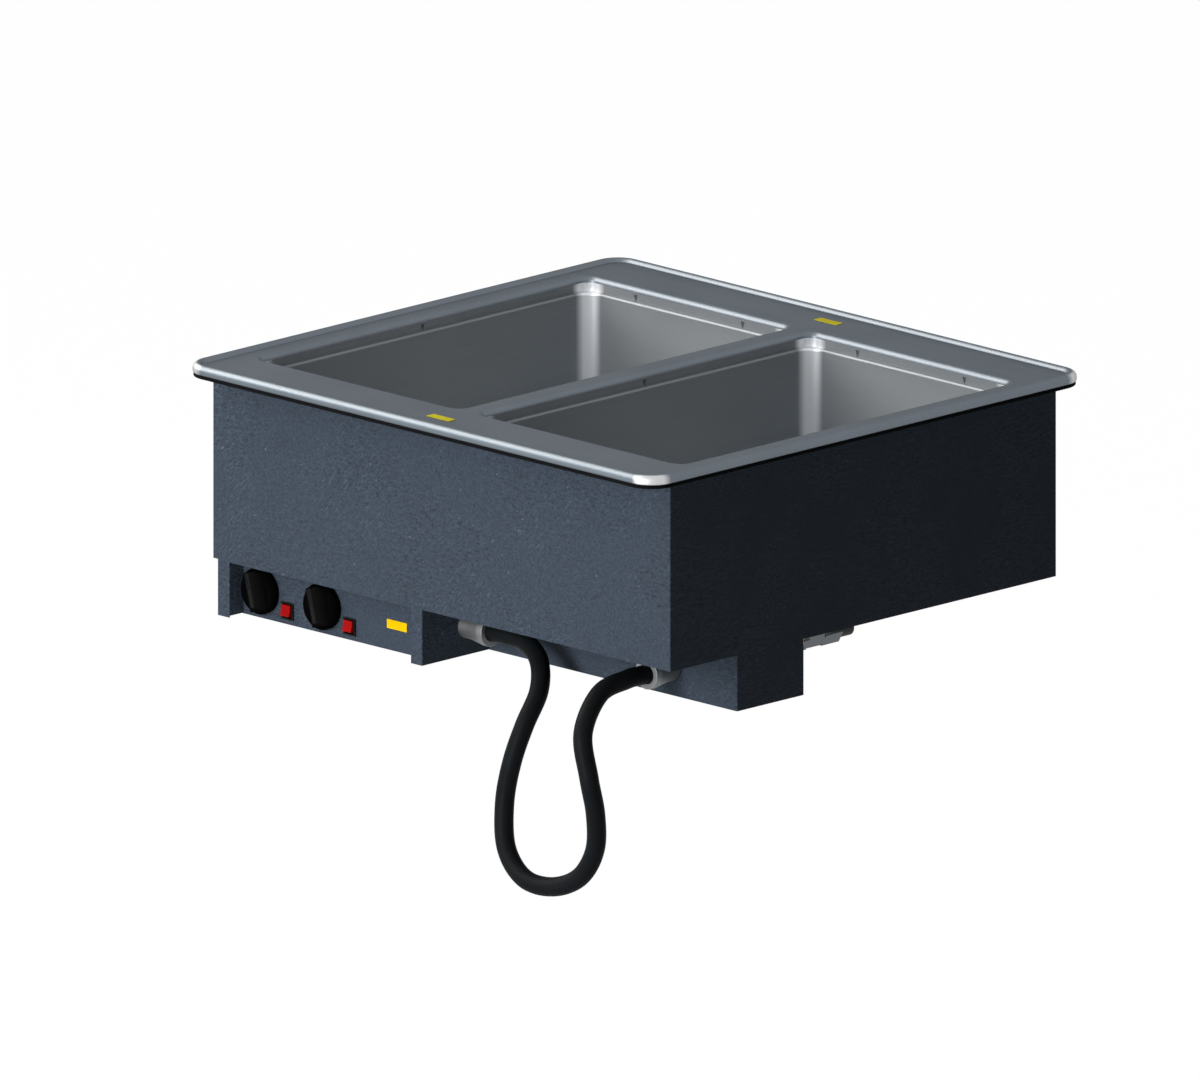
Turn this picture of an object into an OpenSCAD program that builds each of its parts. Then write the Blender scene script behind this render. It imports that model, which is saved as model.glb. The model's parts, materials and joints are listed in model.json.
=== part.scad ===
// Drop-in steam table with two pan wells, a remote control box and a drain valve.
// Millimetres. +X is to the operator's right, +Y away from the operator, +Z up.
// Z = 0 is the counter top, under the deck's lip, and X = Y = 0 is the deck's centre.

/* [Wells] */
// Width of a well between its collar walls
well_w = 306; // [290:1:330]
// Length of a well, front to back, between its collar walls
well_d = 500; // [460:5:540]
// Depth of a well from the deck down to its floor
well_depth = 165; // [100:5:170]
// Width of the divider between the two wells' collar walls
divider_w = 30; // [26:1:60]
// Height of the collar from the deck down to the pan ledge
collar_h = 15; // [12:1:30]
// Width of the pan ledge
ledge_w = 5; // [4.5:0.5:10]
// Rounding of the pan ledge's inner edge
ledge_r = 3; // [2.4:0.1:4]
// Corner radius of the collar
collar_r = 12; // [8:1:18]
// Corner radius of the tub under the ledge
tub_r = 20; // [18:1:30]
// Radius between the tub's walls and its floor
floor_r = 14; // [8:1:16]
// Thickness of the stainless sheet
sheet_t = 1.2; // [0.8:0.1:1.6]

/* [Deck] */
// Land from the outer collar walls to the deck's left and right edges
side_land = 35.5; // [34:0.5:60]
// Land from the collar walls to the deck's front and back edges
end_land = 80; // [70:1:110]
// Corner radius of the deck
deck_r = 30; // [22:1:45]
// Height of the lip's crest above the counter
lip_h = 14.5; // [13:0.5:18]
// Rise of the lip's bead above the deck's flat
bead_h = 4; // [2:0.5:5]
// Width of the bead's inner slope, from the crest to the deck's flat
bead_w = 6.5; // [5.5:0.5:8]
// Rounding of the lip's outer nose
nose_r = 6; // [4:0.5:7]
// Rounding of the lip's lower, tucked edge
tuck_r = 2; // [1.5:0.5:3]
// Rounding of the deck's edge into the wells
edge_r = 6; // [3:0.5:8]
// Thickness of the gasket under the lip
gasket_t = 4; // [2:0.5:5]
// Size of the pressed guide marks in the collar walls
mark_w = 6.4; // [4:0.2:8]

/* [Casing] */
// Height of the casing below the counter top
casing_h = 207; // [204:1:240]
// Overhang of the deck past the casing, left and right
side_hang = 10; // [9:0.5:11]
// Overhang of the deck past the casing, front and back
end_hang = 38.5; // [30:0.5:50]
// Thickness of the casing's and the boxes' sheet
casing_t = 1; // [0.8:0.1:1.5]
// Width of the folded flanges inside the casing and the boxes
flange_w = 10; // [8:1:11]
// Thickness of the side insulation
wool_t = 20; // [12:1:21]

/* [Wiring duct] */
// Distance from the casing's front to the duct's front
duct_back = 101; // [95:1:120]
// Depth of the duct, front to back
duct_d = 101; // [90:1:105]
// Height of the duct below the casing
duct_h = 62; // [60:1:90]

/* [Control box] */
// Width of the control box
box_w = 310; // [300:1:330]
// Distance from the casing's left side to the control box
box_in = 7; // [0:1:20]
// Height of the control box below the casing
box_h = 62; // [60:1:80]
// Distance that the control panel lies behind the box's front
panel_in = 21.5; // [18:0.5:24]
// Width of the box's left front flange
left_flange_w = 18; // [14:1:22]
// Width of the box's right front flange
right_flange_w = 17; // [14:1:22]
// Distance from the box's left side to the first knob
knob_in = 47; // [46:0.5:54]
// Distance between the two knobs
knob_pitch = 94; // [88:1:100]
// Depth of the knob axes below the casing
knob_drop = 30; // [27:0.5:32]
// Diameter of a knob's skirt
knob_d = 51; // [44:1:52]
// Height of a knob
knob_h = 18; // [14:1:20]
// Radius of the regulator shafts
shaft_r = 3; // [2.5:0.5:4]
// Distance from a knob to the switch beside it
switch_out = 38.5; // [36:0.5:42]
// Depth of the switches' centres below the casing
switch_drop = 46; // [44:0.5:47]
// Width of a switch frame
switch_w = 18; // [14:0.5:20]
// Height of a switch frame
switch_h = 19; // [18:0.5:22]
// Tilt of a rocker away from its middle
rocker_tilt = 10; // [6:1:12]

/* [Conduit] */
// Outer radius of the flexible conduit
conduit_r = 10.5; // [8:0.5:11]
// Length of a conduit fitting outside its wall
fitting_len = 38.5; // [30:0.5:45]
// Outer radius of a conduit fitting's nut
fitting_r = 16.8; // [15:0.2:19]

/* [Drain] */
// Distance from the duct's back to the drain pipe's axis
pipe_back = 20; // [16:1:30]
// Depth of the drain pipe's axis below the casing
pipe_drop = 15; // [14.5:0.5:20]
// Outer radius of the drain pipe
pipe_r = 10.6; // [9:0.1:11]
// Distance from the casing's right side to the valve's axis
valve_in = 46.5; // [40:0.5:60]
// Length of the valve body
valve_len = 40; // [36:1:50]
// Length of the valve's lever
lever_len = 62; // [40:1:64]

/* [Hidden] */
$fn = 48;

// Clearances
seat_gap = 0.3;
run_gap = 0.05;
cut = 1;

// Levels
deck_z = lip_h - bead_h;
hem_z = gasket_t;
ledge_z = deck_z - collar_h;
floor_z = deck_z - well_depth;
under_z = floor_z - sheet_t;
base_z = -casing_h;

// Plan sizes
well_x = (well_w + divider_w) / 2;
deck_w = 2 * well_w + divider_w + 2 * side_land;
deck_d = well_d + 2 * end_land;
casing_w = deck_w - 2 * side_hang;
casing_d = deck_d - 2 * end_hang;
tub_w = well_w - 2 * ledge_w;
tub_d = well_d - 2 * ledge_w;
hem_w = side_hang - 1;
gasket_in = 1;
rim_w = nose_r + bead_w;
slope_r = (bead_w * bead_w + bead_h * bead_h) / (2 * bead_h);
bead_r = 0.64 * slope_r;
foot_r = slope_r - bead_r;
bead_angle = asin(bead_w / slope_r);
front_y = -casing_d / 2;

// Drain
duct_front_y = front_y + duct_back;
duct_back_y = duct_front_y + duct_d;
pipe_y = duct_back_y + pipe_back;
pipe_z = base_z - pipe_drop;
valve_x = casing_w / 2 - valve_in;
pipe_bore = 8;
sleeve_r = pipe_r + 2.4;
drain_r = pipe_r + 2.6;
drain_flange_r = 28;
drain_nut_w = 42;
drain_nut_t = 6;
drain_end_z = base_z + 16;
riser_in = 10;
valve_y = pipe_y + sleeve_r + 1;
ball_y = valve_y + valve_len / 2;
ball_r = 9.3;
ball_bore = 6;
barrel_r = 12.6;
chamber_r = 9.9;
stem_r = 3.5;
bonnet_len = 22;
stem_len = 35;
lever_t = 3;
lever_w = 13;
grip_t = 6;
nut_len = 18;
spout_len = 21;
spout_r = 9.5;

// Heater
element_r = 4;
run_near = 36;
run_far = 96;
tray_h = 22;
tray_t = 0.8;
tray_w = tub_w - 2 * floor_r;
tray_d = tub_d - 2 * floor_r;
element_z = under_z - element_r - seat_gap;
clip_z = element_z - element_r - seat_gap;
turn_y = tray_d / 2 - run_near - 20;
strap_y = [-150, 20, 170];
strap_size = [2 * run_far + 24, 14, 1.5];
stud_r = 2.5;
limiter_y = 60;
limiter_r = 11;
limiter_h = 9;
tab_size = [1, 6, 5];

// Boxes
box_left_x = -casing_w / 2 + box_in;
box_right_x = box_left_x + box_w;
box_back_y = duct_front_y - seat_gap;
panel_y = front_y + panel_in;
cover_in = 2;
pan_edge = 15;
lead_hole_r = 12;
knob_z = base_z - knob_drop;
switch_z = base_z - switch_drop;
knob_x = [box_left_x + knob_in, box_left_x + knob_in + knob_pitch];
knob_off = 2;
knob_turn = 15;
regulator_size = [42, 32, 40];
bushing_r = 6;
screw_spread = 14;
shaft_out = 11;
shaft_deep = 18;
rocker_y = panel_y + casing_t + 1;
rocker_gap = 0.3;
frame_wall = 2.1;
frame_lip = 1.6;
frame_deep = 16;
pin_r = 1.5;
pin_len = 1;
label_size = [30, 10, 0.5];
deck_label_size = [34, 11, 0.5];
front_label_out = 42;
rear_label_out = 43;

// Conduit fittings: where each leaves its wall
left_fit = [box_right_x, front_y + 67.5, base_z - 29];
right_fit = [casing_w / 2 - 99.5, duct_front_y, base_z - 32];
hub_r = 10.4;
wire_bore = 8;
nut_cover = 8;
conduit_in = 6;
knockout_r = 11.1;
wall_hole_r = 10.7;
locknut_w = 26;
locknut_t = 4;
bushing_z = base_z - 45;
bushing_x = casing_w / 2 - 146.5;

// Terminals in the duct
terminal_size = [60, 22, 17];
terminal_pitch = 11;
terminal_x = bushing_x - 90;
lug_size = [14, 12, 10];
lug_x = bushing_x - 14;

// Route of the flexible conduit's centre, from the left fitting to the right one
ROUTE = [[3, -224, -236], [18, -224, -236], [34, -224, -236], [60, -224, -239],
    [90, -234, -252], [112, -256, -277], [116, -282, -310], [109, -294, -350],
    [105, -301, -395], [120, -313, -439], [156, -322, -464], [198, -321, -466],
    [233, -315, -450], [256, -315, -416], [265, -323, -374], [264, -332, -332],
    [250, -327, -286], [242, -294, -250], [246, -258, -240], [247, -239, -239],
    [247, -223, -239]];
ROUTE_SIDES = 12;
ROUTE_STEPS = 3;

// Shared shapes

// Flat rectangle with round corners
module round_rect(w, d, r) {
    square([w - 2 * r, d], center = true);
    square([w, d - 2 * r], center = true);
    for (sx = [-1, 1], sy = [-1, 1])
        translate([sx * (w / 2 - r), sy * (d / 2 - r)]) circle(r);
}

// Upright plate with round corners, from z0 up to z1
module round_plate(w, d, r, z0, z1) {
    translate([0, 0, z0]) linear_extrude(z1 - z0) round_rect(w, d, r);
}

// Sweeps a profile round a w by d rectangle whose corners have radius r where the profile's x is r
module around(w, d, r) {
    cx = w / 2 - r;
    cy = d / 2 - r;
    for (side = [0, 1]) rotate(180 * side) {
        translate([cx, cy, 0]) rotate([90, 0, 0]) linear_extrude(2 * cy) children();
        translate([-cx, cy, 0]) rotate([90, 0, 90]) linear_extrude(2 * cx) children();
        translate([cx, cy, 0]) rotate_extrude(angle = 90) children();
        translate([-cx, cy, 0]) rotate(90) rotate_extrude(angle = 90) children();
    }
}

// Quarter of a ring: corner is its centre, turn picks the quadrant
module quarter_ring(centre, outer, inner, turn) {
    translate(centre) rotate(turn) intersection() {
        difference() {
            circle(outer);
            circle(inner);
        }
        square(outer + cut);
    }
}

// Cylinder along +X, or along +Y
module x_rod(r, length) { rotate([0, 90, 0]) cylinder(r = r, h = length); }
module y_rod(r, length) { rotate([-90, 0, 0]) cylinder(r = r, h = length); }

// Six-sided bar along Z, across is the size over its flats
module hex_bar(across, length) { cylinder(r = across / 2 / cos(30), h = length, $fn = 6); }

// Box given by its low and high corners
module block(low, high) { translate(low) cube(high - low); }

// Deck

// Points of the bead's inner slope, offset inwards by depth
function slope_line(depth) = [
    for (k = [0 : 4]) [deck_r - nose_r, lip_h - bead_r]
        + (bead_r - depth) * [-sin(bead_angle * k / 4), cos(bead_angle * k / 4)],
    for (k = [3 : -1 : 0]) [deck_r - rim_w, deck_z + foot_r]
        + (foot_r + depth) * [sin(bead_angle * k / 4), -cos(bead_angle * k / 4)]];

// Section of the lip and the flat beside it, x measured outwards from the corner centres,
// with the deck's edge at deck_r
module lip_section() {
    upper = slope_line(0);
    lower = slope_line(sheet_t);
    quarter_ring([deck_r - nose_r, lip_h - nose_r], nose_r, nose_r - sheet_t, 0);
    translate([deck_r - sheet_t, hem_z + tuck_r])
        square([sheet_t, lip_h - nose_r - hem_z - tuck_r]);
    quarter_ring([deck_r - tuck_r, hem_z + tuck_r], tuck_r, tuck_r - sheet_t, -90);
    translate([deck_r - hem_w, hem_z]) square([hem_w - tuck_r, sheet_t]);
    polygon(concat(upper, [for (k = [len(lower) - 1 : -1 : 0]) lower[k]]));
    translate([0, deck_z - sheet_t]) square([deck_r - rim_w, sheet_t]);
}

// Section of the deck's rounded edge into a well, x measured outwards from the corner centres.
// It runs on a little way into the deck's flat sheet, so that the two become one solid.
module edge_section() {
    quarter_ring([collar_r + edge_r, deck_z - edge_r], edge_r, edge_r - sheet_t, 90);
    translate([collar_r + edge_r, deck_z - sheet_t]) square([cut, sheet_t]);
}

module top_deck() {
    color([0.72, 0.73, 0.74]) {
        difference() {
            union() {
                around(deck_w, deck_d, deck_r) lip_section();
                block([deck_r - deck_w / 2, deck_r - deck_d / 2, deck_z - sheet_t],
                    [deck_w / 2 - deck_r, deck_d / 2 - deck_r, deck_z]);
            }
            for (side = [-1, 1]) translate([side * well_x, 0, 0])
                round_plate(well_w + 2 * edge_r, well_d + 2 * edge_r, collar_r + edge_r,
                    deck_z - sheet_t - cut, deck_z + cut);
        }
        for (side = [-1, 1]) translate([side * well_x, 0, 0])
            around(well_w, well_d, collar_r) edge_section();
    }
}

module deck_gasket() {
    color([0.06, 0.06, 0.07]) around(deck_w, deck_d, deck_r)
        translate([deck_r - hem_w, 0]) square([hem_w - gasket_in, gasket_t]);
}

// Wells

// Pressed guide mark, a shallow triangle that points down
module guide_mark() {
    rotate([90, 0, 0]) linear_extrude(sheet_t, center = true)
        polygon([[-mark_w / 2, 0], [mark_w / 2, 0], [0, -1.25 * mark_w]]);
}

module tub_section() {
    top = [tub_r + ledge_r, ledge_z - ledge_r];
    bottom = [tub_r - floor_r, floor_z + floor_r];
    quarter_ring(top, ledge_r, ledge_r - sheet_t, 90);
    translate([tub_r, bottom[1]]) square([sheet_t, top[1] - bottom[1]]);
    quarter_ring(bottom, floor_r + sheet_t, floor_r, -90);
}

module well() {
    mark_z = deck_z - edge_r - 2;
    color([0.68, 0.69, 0.7]) difference() {
        union() {
            difference() {
                round_plate(well_w + 2 * sheet_t, well_d + 2 * sheet_t, collar_r + sheet_t,
                    ledge_z - sheet_t, deck_z - edge_r);
                round_plate(well_w, well_d, collar_r, ledge_z, deck_z);
                round_plate(tub_w + 2 * ledge_r, tub_d + 2 * ledge_r, tub_r + ledge_r,
                    ledge_z - 2 * sheet_t, deck_z);
            }
            around(tub_w, tub_d, tub_r) tub_section();
            round_plate(tray_w, tray_d, tub_r - floor_r, under_z, floor_z);
        }
        for (side = [-1, 1]) {
            for (sx = [-1, 1]) translate([sx * 0.265 * well_w, side * well_d / 2, mark_z]) guide_mark();
            translate([side * well_w / 2, 0, mark_z]) rotate(90) guide_mark();
        }
        translate([0, pipe_y, under_z - cut]) cylinder(r = drain_r + seat_gap, h = sheet_t + 2 * cut);
    }
}

// Drain fitting of one well: its flange lies on the well's floor
module drain() {
    color([0.6, 0.6, 0.6]) translate([0, pipe_y, 0]) difference() {
        union() {
            translate([0, 0, floor_z]) cylinder(r = drain_flange_r, h = 1.5);
            translate([0, 0, drain_end_z]) cylinder(r = drain_r, h = floor_z - drain_end_z);
        }
        translate([0, 0, drain_end_z - cut]) cylinder(r = pipe_bore, h = casing_h);
        translate([0, 0, drain_end_z - cut]) cylinder(r = pipe_r + seat_gap, h = riser_in + cut);
    }
}

module drain_nuts() {
    color([0.75, 0.62, 0.3]) for (side = [-1, 1])
        translate([side * well_x, pipe_y, under_z - drain_nut_t]) difference() {
            hex_bar(drain_nut_w, drain_nut_t);
            translate([0, 0, -cut]) cylinder(r = drain_r + run_gap, h = drain_nut_t + 2 * cut);
        }
}

// Flat strainer plate in the drain's mouth
module strainer() {
    color([0.65, 0.65, 0.66]) translate([0, pipe_y, floor_z + 1.5]) difference() {
        cylinder(r = drain_flange_r - 2, h = 1.2);
        for (ring = [1 : 3], i = [0 : 6 * ring - 1]) rotate(60 / ring * i)
            translate([6.5 * ring, 0, -cut]) cylinder(r = 1.8, h = 1.2 + 2 * cut, $fn = 16);
        translate([0, 0, -cut]) cylinder(r = 1.8, h = 1.2 + 2 * cut, $fn = 16);
    }
}

// Heaters

// Half turn of the heating element, open towards -Y
module element_turn(x, y, r) {
    translate([x, y, 0]) rotate_extrude(angle = 180) translate([r, 0]) circle(element_r);
}

module heater() {
    turn_r = (run_far - run_near) / 2;
    turn_x = (run_far + run_near) / 2;
    front_turn_y = -turn_y + 30;
    color([0.35, 0.33, 0.32]) translate([0, 0, element_z]) for (side = [-1, 1]) {
        translate([side * run_far, -tray_d / 2 - 12, 0]) y_rod(element_r, tray_d / 2 + 12 + turn_y);
        translate([side * run_near, front_turn_y, 0]) y_rod(element_r, turn_y - front_turn_y);
        element_turn(side * turn_x, turn_y, turn_r);
        if (side == 1) rotate(180) element_turn(0, -front_turn_y, run_near);
        translate([side * run_far, -tray_d / 2 - 22, 0]) y_rod(1.6, 12);
    }
}

// Straps that hold the elements up against the wells, with their welded studs
module element_clips() {
    stud_x = (run_far + run_near) / 2;
    color([0.6, 0.6, 0.58]) for (side = [-1, 1], y = strap_y)
        translate([side * well_x, y, 0]) {
            translate([0, 0, clip_z - strap_size[2] / 2]) cube(strap_size, center = true);
            for (sx = [-1, 1]) translate([sx * stud_x, 0, clip_z]) cylinder(r = stud_r, h = under_z - clip_z);
        }
}

module tray() {
    low = under_z - tray_h;
    color([0.62, 0.62, 0.62]) difference() {
        translate([-tray_w / 2, -tray_d / 2, low]) cube([tray_w, tray_d, tray_h]);
        translate([-tray_w / 2 + tray_t, -tray_d / 2 + tray_t, low + tray_t])
            cube([tray_w - 2 * tray_t, tray_d - 2 * tray_t, tray_h]);
        translate([0, pipe_y, low - cut]) cylinder(r = drain_r + 2, h = 3 * cut);
        for (sx = [-1, 1]) translate([sx * run_far, -tray_d / 2 - cut, element_z]) {
            y_rod(element_r + 2 * seat_gap, tray_t + 2 * cut);
            translate([-element_r, 0, 0]) cube([2 * element_r, tray_t + 2 * cut, tray_h]);
        }
    }
}

// Snap discs that cut a heater off when its well boils dry
module limiters() {
    for (side = [-1, 1]) translate([side * well_x, limiter_y, under_z]) {
        color([0.12, 0.12, 0.12]) translate([0, 0, -limiter_h]) cylinder(r = limiter_r, h = limiter_h);
        color([0.75, 0.75, 0.75]) for (sx = [-1, 1])
            translate([sx * limiter_r / 2, 0, -limiter_h - tab_size[2] / 2]) cube(tab_size, center = true);
    }
}

// Insulation

module side_insulation() {
    low = base_z + casing_t;
    high = ledge_z - 6;
    x_out = casing_w / 2 - 2 * casing_t;
    y_out = casing_d / 2 - 2 * casing_t;
    color([0.85, 0.8, 0.45]) {
        for (side = [0, 1]) rotate(180 * side) {
            block([x_out - wool_t, -y_out, low], [x_out, y_out, high]);
            block([-x_out + wool_t, y_out - wool_t, low], [x_out - wool_t, y_out, high]);
        }
        block([-divider_w / 3, -well_d / 2, low], [divider_w / 3, well_d / 2, high]);
    }
}

module floor_insulation() {
    low = base_z + casing_t;
    color([0.85, 0.8, 0.45]) for (side = [-1, 1]) translate([side * well_x, 0, 0]) difference() {
        block([-tray_w / 2, -tray_d / 2, low], [tray_w / 2, tray_d / 2, under_z - tray_h]);
        translate([0, pipe_y, low - cut]) cylinder(r = sleeve_r + 2, h = casing_h);
    }
}

// Casing

module outer_casing() {
    top = deck_z - sheet_t;
    inner = [casing_w / 2 - casing_t, casing_d / 2 - casing_t];
    color([0.33, 0.37, 0.42]) difference() {
        block([-casing_w / 2, front_y, base_z], [casing_w / 2, -front_y, top]);
        block([-inner[0], -inner[1], base_z - cut], [inner[0], inner[1], top - casing_t]);
        block([-inner[0] + flange_w, -inner[1] + flange_w, base_z],
            [inner[0] - flange_w, inner[1] - flange_w, top + cut]);
    }
}

// Floor pan of the casing, its edges turned up inside the walls
module casing_floor() {
    x = casing_w / 2 - casing_t;
    y = casing_d / 2 - casing_t;
    color([0.33, 0.37, 0.42]) difference() {
        block([-x, -y, base_z], [x, y, base_z + pan_edge]);
        block([-x + casing_t, -y + casing_t, base_z + casing_t],
            [x - casing_t, y - casing_t, base_z + pan_edge + cut]);
        for (side = [-1, 1]) {
            translate([side * well_x, pipe_y, base_z - cut])
                cylinder(r = sleeve_r + 1, h = casing_t + 2 * cut);
            translate([side * well_x, duct_front_y + duct_d / 2, base_z - cut])
                cylinder(r = lead_hole_r, h = casing_t + 2 * cut);
        }
    }
}

// Open box of folded sheet under the casing: top and bottom flanges turn inwards
module folded_box(x0, x1, y0, y1, h) {
    t = casing_t;
    low = base_z - h;
    lip_z = low + cover_in;
    difference() {
        block([x0, y0, low], [x1, y1, base_z]);
        block([x0 + t, y0 + t, lip_z + t], [x1 - t, y1 - t, base_z - t]);
        block([x0 + t + flange_w, y0 + t + flange_w, low - cut],
            [x1 - t - flange_w, y1 - t - flange_w, base_z + cut]);
        block([x0 + t, y0 + t, low - cut], [x1 - t, y1 - t, lip_z]);
    }
}

module duct_shell() {
    color([0.33, 0.37, 0.42]) difference() {
        folded_box(-casing_w / 2, casing_w / 2, duct_front_y, duct_back_y, duct_h);
        translate([right_fit[0], right_fit[1] - cut, right_fit[2]]) y_rod(wall_hole_r, casing_t + 2 * cut);
        translate([bushing_x, duct_back_y - casing_t - cut, bushing_z])
            y_rod(knockout_r, casing_t + 2 * cut);
    }
}

// Bottom cover of a folded box, let in between its walls
module box_cover(x0, x1, y0, y1, h) {
    low = base_z - h + cover_in;
    edge = casing_t + seat_gap;
    block([x0 + edge, y0 + edge, low - casing_t], [x1 - edge, y1 - edge, low]);
}

module duct_cover() {
    color([0.33, 0.37, 0.42])
        box_cover(-casing_w / 2, casing_w / 2, duct_front_y, duct_back_y, duct_h);
}

// Control box

module control_housing() {
    t = casing_t;
    low = base_z - box_h;
    color([0.33, 0.37, 0.42]) difference() {
        union() {
            folded_box(box_left_x, box_right_x, front_y, box_back_y, box_h);
            block([box_left_x, front_y, base_z - t], [box_right_x, box_back_y, base_z]);
        }
        block([box_left_x + left_flange_w, front_y - cut, low - cut],
            [box_right_x - right_flange_w, front_y + t + flange_w + cut, base_z - t]);
        block([box_left_x + t, front_y + t, low - cut],
            [box_right_x - t, panel_y + t + flange_w, base_z - t]);
        translate([left_fit[0] - t - cut, left_fit[1], left_fit[2]]) x_rod(wall_hole_r, t + 2 * cut);
    }
}

module control_panel() {
    t = casing_t;
    x0 = box_left_x + left_flange_w;
    x1 = box_right_x - right_flange_w;
    low = base_z - box_h + cover_in;
    high = base_z - t;
    color([0.33, 0.37, 0.42]) difference() {
        union() {
            block([x0 - t, panel_y, low], [x1 + t, panel_y + t, high]);
            block([x0 - t, front_y + t, low], [x0, panel_y, high]);
            block([x1, front_y + t, low], [x1 + t, panel_y, high]);
            block([x0 - t, panel_y, low], [x1 + t, panel_y + t + flange_w, low + t]);
        }
        for (x = knob_x) {
            translate([x, panel_y - cut, knob_z]) y_rod(bushing_r + seat_gap, t + 2 * cut);
            for (s = [-1, 1]) translate([x + s * screw_spread, panel_y - cut, knob_z])
                y_rod(2.2, t + 2 * cut);
            hole = [switch_w - frame_lip + seat_gap, 3 * t, switch_h - frame_lip + seat_gap];
            translate([x + switch_out, panel_y, switch_z]) cube(hole, center = true);
        }
    }
}

module control_cover() {
    t = casing_t;
    low = base_z - box_h + cover_in;
    color([0.33, 0.37, 0.42])
        block([box_left_x + t + seat_gap, panel_y, low - t],
            [box_right_x - t - seat_gap, box_back_y - t - seat_gap, low]);
}

// Energy regulator behind the panel, with the bushing that its shaft turns in
module regulator() {
    color([0.2, 0.2, 0.22]) difference() {
        union() {
            translate([-regulator_size[0] / 2, casing_t, -regulator_size[2] / 2]) cube(regulator_size);
            y_rod(bushing_r, casing_t);
        }
        translate([0, -cut, 0]) y_rod(shaft_r + run_gap, shaft_deep + cut);
        for (s = [-1, 1]) translate([s * screw_spread, casing_t - cut, 0]) y_rod(1.6, 8 + cut);
    }
}

// Places its children at knob number i, at the panel's front face
module at_knob(i) { translate([knob_x[i], panel_y, knob_z]) children(); }

module regulator_screws() {
    color([0.7, 0.7, 0.7]) for (i = [0, 1], s = [-1, 1])
        at_knob(i) translate([s * screw_spread, 0, 0]) y_rod(1.6, 8);
}

module shaft() {
    color([0.75, 0.75, 0.75]) difference() {
        translate([0, -shaft_out - knob_off, 0]) y_rod(shaft_r, shaft_out + knob_off + shaft_deep - cut);
        block([-shaft_r, -shaft_out - knob_off - cut, shaft_r * 0.6],
            [shaft_r, -knob_off - 2, shaft_r + cut]);
    }
}

// Pointer knob, turned so that its pointer stands near the top
module knob() {
    skirt = knob_h * 0.45;
    r = knob_d / 2;
    color([0.04, 0.04, 0.045]) translate([0, -knob_off, 0]) rotate([90, 0, 0]) difference() {
        union() {
            rotate_extrude() polygon([[0, 0], [r, 0], [r, skirt * 0.6], [r - 2.5, skirt], [0, skirt]]);
            rotate(knob_turn) intersection() {
                cylinder(r = r - 2, h = knob_h);
                rotate([90, 0, 0]) linear_extrude(2 * r, center = true)
                    polygon([[-16, 0], [16, 0], [15, skirt], [2, knob_h], [-2, knob_h], [-15, skirt]]);
                rotate([90, 0, 90]) linear_extrude(2 * r, center = true)
                    polygon([[-r, 0], [r, 0], [r - 2, skirt], [r - 4, knob_h], [-r + 10, knob_h],
                        [-r + 3, skirt]]);
            }
        }
        translate([0, 0, -cut]) intersection() {
            cylinder(r = shaft_r + run_gap, h = shaft_out + cut);
            block([-knob_d, -knob_d, 0], [knob_d, shaft_r * 0.6 + run_gap, knob_h]);
        }
        translate([0, 0, -cut]) cylinder(r = shaft_r + run_gap, h = 3 + cut);
        rotate(knob_turn) block([-0.6, 4, knob_h - 0.6], [0.6, r, knob_h + cut]);
    }
}

// Switches

// Places its children at the rocker pivot of switch number i
module at_switch(i) { translate([knob_x[i] + switch_out, rocker_y, switch_z]) children(); }

module switch_frame() {
    open_w = switch_w - 2 * frame_wall;
    open_h = switch_h - 2 * frame_wall + 1;
    front = panel_y - frame_lip - rocker_y;
    face = panel_y - rocker_y;
    color([0.03, 0.03, 0.03]) {
        difference() {
            union() {
                block([-switch_w / 2, front, -switch_h / 2], [switch_w / 2, face, switch_h / 2]);
                block([-switch_w / 2 + frame_lip / 2, face, -switch_h / 2 + frame_lip / 2],
                    [switch_w / 2 - frame_lip / 2, frame_deep, switch_h / 2 - frame_lip / 2]);
            }
            block([-open_w / 2, front - cut, -open_h / 2], [open_w / 2, frame_deep - 2, open_h / 2]);
            translate([-open_w / 2 - pin_len - seat_gap / 2, 0, 0])
                x_rod(pin_r + run_gap, open_w + 2 * pin_len + seat_gap);
        }
        for (z = [-4, 4]) translate([0, frame_deep + 3, z]) cube([5, 6, 0.8], center = true);
    }
}

// Rocker with its two trunnions, tilted so that its lower half stands out
module switch_paddle() {
    w = switch_w - 2 * frame_wall - 2 * rocker_gap;
    half = (switch_h - 2 * frame_wall - 2.6) / 2;
    mid = -6.4;
    end = mid - half * tan(rocker_tilt);
    color([0.75, 0.05, 0.06]) {
        rotate([-rocker_tilt, 0, 0]) translate([-w / 2, 0, 0]) rotate([90, 0, 90]) linear_extrude(w)
            polygon([[3, -half + 2], [0, -half], [end, -half], [mid, 0], [end, half], [0, half],
                [3, half - 2]]);
        translate([-w / 2 - rocker_gap - pin_len, 0, 0]) x_rod(pin_r, w + 2 * rocker_gap + 2 * pin_len);
    }
}

// Conduit and its fittings

// Places its children on the left fitting's axis, and on the right one's, +Z out of the wall
module at_left_fit() { translate(left_fit) rotate([0, 90, 0]) children(); }
module at_right_fit() { translate(right_fit) rotate([90, 0, 0]) children(); }

module fitting() {
    shoulder = fitting_len - conduit_in;
    color([0.62, 0.64, 0.66]) difference() {
        union() {
            translate([0, 0, -casing_t - 7]) cylinder(r = hub_r, h = casing_t + 7);
            cylinder(r = fitting_r * 0.78, h = 3);
            translate([0, 0, 3])
                cylinder(r1 = fitting_r * 0.74, r2 = fitting_r - 0.3, h = fitting_len - nut_cover - 3);
            cylinder(r = fitting_r - 3, h = shoulder);
        }
        translate([0, 0, -casing_t - 7 - cut]) cylinder(r = wire_bore, h = fitting_len + 20);
    }
}

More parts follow.
